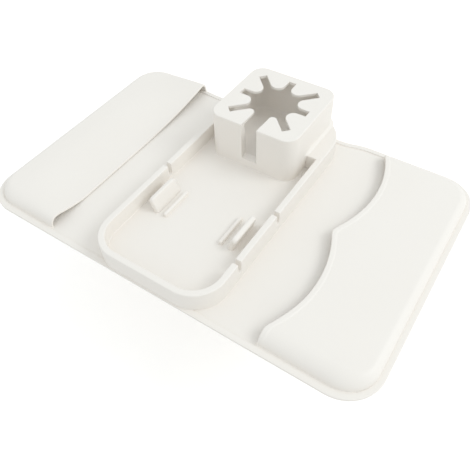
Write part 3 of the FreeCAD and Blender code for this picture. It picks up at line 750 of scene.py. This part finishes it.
class ARMTRAY_OT_pockets(bpy.types.Operator):
    """Make the pocket on each wing"""
    bl_idname = "armtray.pockets"
    bl_label = "Pockets"

    def crowded(self, share):
        """A share from 0 to 1, moved so that even steps lie close together near both ends."""
        pull = 0.85
        return share - pull * math.sin(2 * math.pi * share) / (2 * math.pi)

    def mouth_line(self, side, y):
        """How far the mouth lies from the middle of the mat."""
        pockets = sizes("pockets")
        if side == "left":
            return pockets.left_mouth
        radius = (pockets.scallop_width ** 2 / 4 + pockets.scallop_depth ** 2) / (2 * pockets.scallop_depth)
        away = abs(y - pockets.scallop_cusp) - pockets.scallop_width / 2
        if abs(away) > pockets.scallop_width / 2:
            return pockets.right_mouth
        dent = pockets.scallop_depth - radius + math.sqrt(radius ** 2 - away ** 2)
        ease, regain = pockets.scallop_ease, 1.09
        return pockets.right_mouth + regain * (math.hypot(dent, ease) - ease)

    def crown(self, side, y, inside):
        """Height of the sheet inside its border; the left mouth sags to the mat and rises at both ends."""
        pockets = sizes("pockets")
        if side == "right":
            puff = pockets.near_puff * smoothstep(-y, pockets.puff_start, pockets.puff_full)
            return pockets.height - pockets.band_height + puff
        near = max(0.0, (pockets.sag_near - y) / (pockets.sag_near - MAT_LOW[1]))
        far = max(0.0, (y - pockets.sag_far) / (MAT_HIGH[1] - pockets.sag_far))
        edge = pockets.sag_low + pockets.near_lift * near ** 1.5 + pockets.far_lift * far ** 2
        return edge + (pockets.height - edge) * smoothstep(inside, 0.0, pockets.sag_reach)

    def lip(self, side, inside):
        """Height of the thick band along the right mouth, and the round edge of both mouths."""
        pockets = sizes("pockets")
        step_in, step_out = 0.0008, 0.0004
        band = 1 - smoothstep(inside, pockets.band_width - step_in, pockets.band_width + step_out)
        round_edge = math.sqrt(1 - (1 - min(1.0, inside / pockets.edge_round)) ** 2) - 1
        return pockets.band_height * (round_edge + (band if side == "right" else 0))

    def swell(self, x, y, edge, depth, corner):
        """Share of the full height that the rounded sides leave at a place: 0 on the border, 1 inside."""
        pockets = sizes("pockets")
        over_x, over_y = max(0.0, x - edge + corner), max(0.0, abs(y) - depth + corner)
        out = math.hypot(over_x, over_y)
        puffed = (over_y / out) ** 2 if y < 0 and out > 0 else 0.0
        border = max(0.0, corner - out - pockets.drawn_in * puffed)
        slope = pockets.side_slope + (pockets.puffed_slope - pockets.side_slope) * puffed
        return math.sqrt(1 - (1 - min(1.0, border / slope)) ** 2)

    def execute(self, context):
        pockets, mat = sizes("pockets"), sizes("mat")
        across, along, rim_share, clear = 90, 110, 0.6, 0.0006
        base, lap = mat.sheet + mat.rim_height * rim_share, mat.rim_width - clear
        depth, edge, corner = MAT_HIGH[1] - lap, MAT_HIGH[0] - lap, mat.corner - lap
        for side, sign in SIDES:
            bm = bmesh.new()
            bmesh.ops.create_grid(bm, x_segments=across, y_segments=along, size=0.5)
            outside, lips = bm.verts[:], []
            for vert in outside:
                y = depth * (2 * self.crowded(vert.co.y + 0.5) - 1)
                over = max(0.0, abs(y) - depth + corner)
                end = edge - corner + math.sqrt(max(0.0, corner ** 2 - over ** 2))
                mouth = self.mouth_line(side, y)
                x = mouth + (end - mouth) * self.crowded(vert.co.x + 0.5)
                share = self.swell(x, y, edge, depth, corner)
                vert.co = (sign * x, y, base + (self.crown(side, y, x - mouth) - base) * share)
                lips.append(self.lip(side, x - mouth) * share)
            bmesh.ops.recalc_face_normals(bm, faces=bm.faces[:])
            if sum(face.normal.z for face in bm.faces) < 0:
                bmesh.ops.reverse_faces(bm, faces=bm.faces[:])
            bmesh.ops.solidify(bm, geom=bm.faces[:], thickness=pockets.sheet)
            for vert, lip in zip(outside, lips):
                vert.co.z += lip
            piece = new_piece("pocket_" + side, bm, even=False)
            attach(piece, side + "_wing")
            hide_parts(side + "_pocket")
        return {"FINISHED"}


# Stage

def soft_lamp(name, place, size, power):
    """A round lamp that points at the middle of the tray."""
    data = bpy.data.lights.new(name, "AREA")
    data.shape, data.size, data.energy = "DISK", size, power
    data.color = sizes("look").daylight
    lamp = bpy.data.objects.new(name, data)
    lamp.location = place
    lamp.rotation_euler = (-Vector(place)).to_track_quat("-Z", "Y").to_euler()
    bpy.context.scene.collection.objects.link(lamp)


def seen_or_mirrored(nodes, links, second):
    """Value that is 1 for rays straight from the camera and for one more kind of ray."""
    rays = nodes.new("ShaderNodeLightPath")
    seen = nodes.new("ShaderNodeMath")
    seen.operation = "MAXIMUM"
    links.new(rays.outputs["Is Camera Ray"], seen.inputs[0])
    links.new(rays.outputs[second], seen.inputs[1])
    return seen.outputs["Value"]


class ARMTRAY_OT_stage(bpy.types.Operator):
    """Set up the floor, the studio light and the camera"""
    bl_idname = "armtray.stage"
    bl_label = "Stage"

    def execute(self, context):
        scene = context.scene
        scene.view_settings.view_transform = "Standard"
        look = sizes("look")
        bm = bmesh.new()
        bmesh.ops.create_grid(bm, x_segments=1, y_segments=1, size=look.floor_half)
        bmesh.ops.translate(bm, vec=(0, 0, -look.floor_drop), verts=bm.verts[:])
        floor = linked_object("floor", bm)
        floor.data.materials.append(self.floor_paint())
        self.surroundings(scene)
        soft_lamp("key_lamp", place=(2.30, 0.85, 2.30), size=1.6, power=28.0)
        self.camera(scene)
        return {"FINISHED"}

    def floor_paint(self):
        """Matt white floor that keeps the shadow."""
        look = sizes("look")
        material = bpy.data.materials.new("studio_floor")
        material.use_nodes = True
        nodes, links = material.node_tree.nodes, material.node_tree.links
        surface = nodes["Principled BSDF"]
        surface.inputs["Base Color"].default_value = (*look.floor, 1)
        surface.inputs["Roughness"].default_value = 0.9
        surface.inputs["Specular IOR Level"].default_value = 0.1
        surface.inputs["Emission Color"].default_value = (1, 1, 1, 1)
        glow = nodes.new("ShaderNodeMath")
        glow.operation = "MULTIPLY"
        glow.inputs[1].default_value = look.floor_glow
        links.new(seen_or_mirrored(nodes, links, "Is Glossy Ray"), glow.inputs[0])
        links.new(glow.outputs["Value"], surface.inputs["Emission Strength"])
        return material

    def surroundings(self, scene):
        """Even studio light all round, white where it is seen."""
        look = sizes("look")
        world = bpy.data.worlds.new("studio")
        scene.world = world
        world.use_nodes = True
        nodes, links = world.node_tree.nodes, world.node_tree.links
        plain = nodes["Background"]
        level = nodes.new("ShaderNodeMix")
        level.data_type = "RGBA"
        level.inputs["A"].default_value = (*[look.sky_level * share for share in look.daylight], 1)
        level.inputs["B"].default_value = (1, 1, 1, 1)
        links.new(seen_or_mirrored(nodes, links, "Is Transmission Ray"), level.inputs["Factor"])
        links.new(level.outputs["Result"], plain.inputs["Color"])

    def camera(self, scene):
        """Camera that was fitted to the photograph; its focus is in pixels of the picture's width."""
        azimuth, elevation, roll = math.radians(35.377), math.radians(50.451), math.radians(2.606)
        place, focus, picture_width = (0.24416, -0.33551, 0.42982), 517.25, 470
        forward = Vector((-math.sin(azimuth) * math.cos(elevation), math.cos(azimuth) * math.cos(elevation),
                          -math.sin(elevation)))
        right = forward.cross(Vector((0, 0, 1))).normalized()
        down = forward.cross(right)
        across = math.cos(roll) * right + math.sin(roll) * down
        under = math.cos(roll) * down - math.sin(roll) * right
        data = bpy.data.cameras.new("photo_camera")
        data.sensor_fit, data.sensor_width = "HORIZONTAL", 36.0
        data.lens = focus / picture_width * data.sensor_width
        data.clip_start, data.clip_end = 0.01, 50.0
        camera = bpy.data.objects.new("photo_camera", data)
        scene.collection.objects.link(camera)
        turned = Matrix((across, -under, -forward)).transposed().to_4x4()
        camera.matrix_world = Matrix.Translation(place) @ turned
        scene.camera = camera


class ARMTRAY_PT_panel(bpy.types.Panel):
    """Lists the steps that build the tray"""
    bl_idname = "ARMTRAY_PT_panel"
    bl_label = "Sofa Arm Tray"
    bl_space_type = "VIEW_3D"
    bl_region_type = "UI"
    bl_category = "Arm Tray"

    def draw(self, context):
        for step in STEPS:
            self.layout.operator(step.bl_idname)


GROUPS = (("mat", ArmTrayMat), ("tray", ArmTrayTray), ("cup", ArmTrayCup), ("rests", ArmTrayRests),
          ("pockets", ArmTrayPockets), ("look", ArmTrayLook))
STEPS = (ARMTRAY_OT_stage, ARMTRAY_OT_mat, ARMTRAY_OT_tray, ARMTRAY_OT_cup_holder, ARMTRAY_OT_fingers,
         ARMTRAY_OT_phone_rests, ARMTRAY_OT_pockets)


def register():
    for name, group in GROUPS:
        bpy.utils.register_class(group)
        setattr(bpy.types.Scene, "arm_tray_" + name, PointerProperty(type=group))
    for item in STEPS + (ARMTRAY_PT_panel,):
        bpy.utils.register_class(item)


def unregister():
    for item in (ARMTRAY_PT_panel,) + tuple(reversed(STEPS)):
        bpy.utils.unregister_class(item)
    for name, group in reversed(GROUPS):
        delattr(bpy.types.Scene, "arm_tray_" + name)
        bpy.utils.unregister_class(group)


def main():
    register()
    bpy.ops.armtray.stage()
    bpy.ops.armtray.mat()
    bpy.ops.armtray.tray()
    bpy.ops.armtray.cup_holder()
    bpy.ops.armtray.fingers()
    bpy.ops.armtray.phone_rests()
    bpy.ops.armtray.pockets()


if __name__ == "__main__":
    main()
